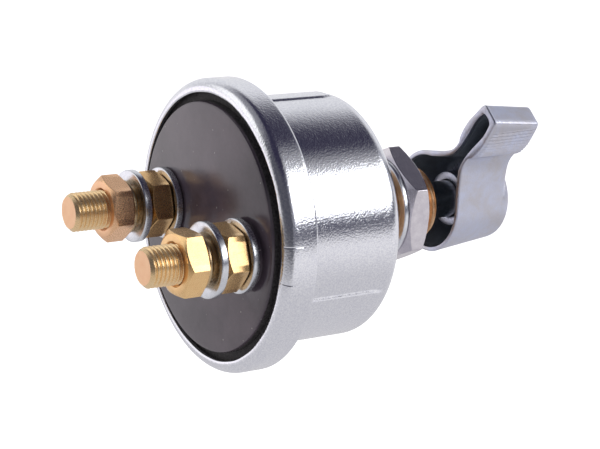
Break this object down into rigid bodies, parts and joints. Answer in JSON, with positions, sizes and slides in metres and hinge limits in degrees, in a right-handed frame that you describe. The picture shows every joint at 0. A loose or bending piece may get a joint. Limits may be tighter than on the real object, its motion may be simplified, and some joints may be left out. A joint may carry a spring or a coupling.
{
  "type": "battery_cutoff_switch",
  "caption": "Heavy-duty battery cut-off switch in a zinc plated steel cup, with brass terminal studs on a black base, a threaded brass mounting stem and a hollow die-cast lever",
  "frame": {"origin": "centre of the cup's front face, which sits against the back of the panel, on the stem's axis", "axes": "Y is the switch's axis: -Y points through the panel to the lever, +Y to the terminal studs. X runs through the two studs, stud a at +X and stud b at -X. Z is square to both, up in the picture"},
  "size_m": [0.0712, 0.1115, 0.0712],
  "materials": {
    "zinc": "bright blue-white zinc plating on drawn steel, with a faint fine spangle",
    "washer_zinc": "bright zinc plating",
    "nut_steel": "machined steel with thin zinc plating",
    "die_cast": "plated zinc die casting, satin, slightly rough at its edges",
    "phenolic": "satin black phenolic moulding",
    "stud_brass": "machined brass, pinkish at the end faces",
    "nut_brass": "machined yellow brass",
    "stem_brass": "machined brass, a little tarnished",
    "bronze": "dull bronze",
    "dark_steel": "dark oiled steel",
    "copper": "bare copper",
    "moulded": "plain moulded insulator",
    "fibre": "plain insulating fibre",
    "rubber": "plain black rubber"
  },
  "bodies": {
    "housing": {"case_cup": "zinc", "terminal_base": "phenolic", "base_gasket": "rubber", "mounting_stem": "stem_brass", "mounting_nut": "nut_steel", "mounting_washer": "washer_zinc", "insulating_liner": "fibre", "thrust_washer": "washer_zinc", "stud_a": "stud_brass", "inner_washer_a": "washer_zinc", "inner_nut_a": "nut_brass", "outer_washer_a": "washer_zinc", "lock_washer_a": "bronze", "outer_nut_a": "nut_brass", "stud_b": "stud_brass", "inner_washer_b": "washer_zinc", "inner_nut_b": "nut_brass", "outer_washer_b": "washer_zinc", "lock_washer_b": "bronze", "outer_nut_b": "nut_brass"},
    "rotor": {"lever": "die_cast", "lever_screw": "washer_zinc", "shaft": "dark_steel", "shaft_seal": "rubber", "rotor_carrier": "moulded", "contact_spring": "dark_steel"},
    "bridge": {"contact_bridge": "copper"}
  },
  "joints": [
    {"name": "lever_turn", "type": "hinge", "parent": "housing", "child": "rotor", "pos_m": [0, 0, 0], "axis": [0, 1, 0], "range_deg": [0, 90]},
    {"name": "bridge_spring_travel", "type": "slide", "parent": "rotor", "child": "bridge", "axis": [0, -1, 0], "range_m": [0, 0.0008], "stiffness_N_per_m": 6000, "springref_m": -0.003, "deforming": ["contact_spring"]}
  ]
}
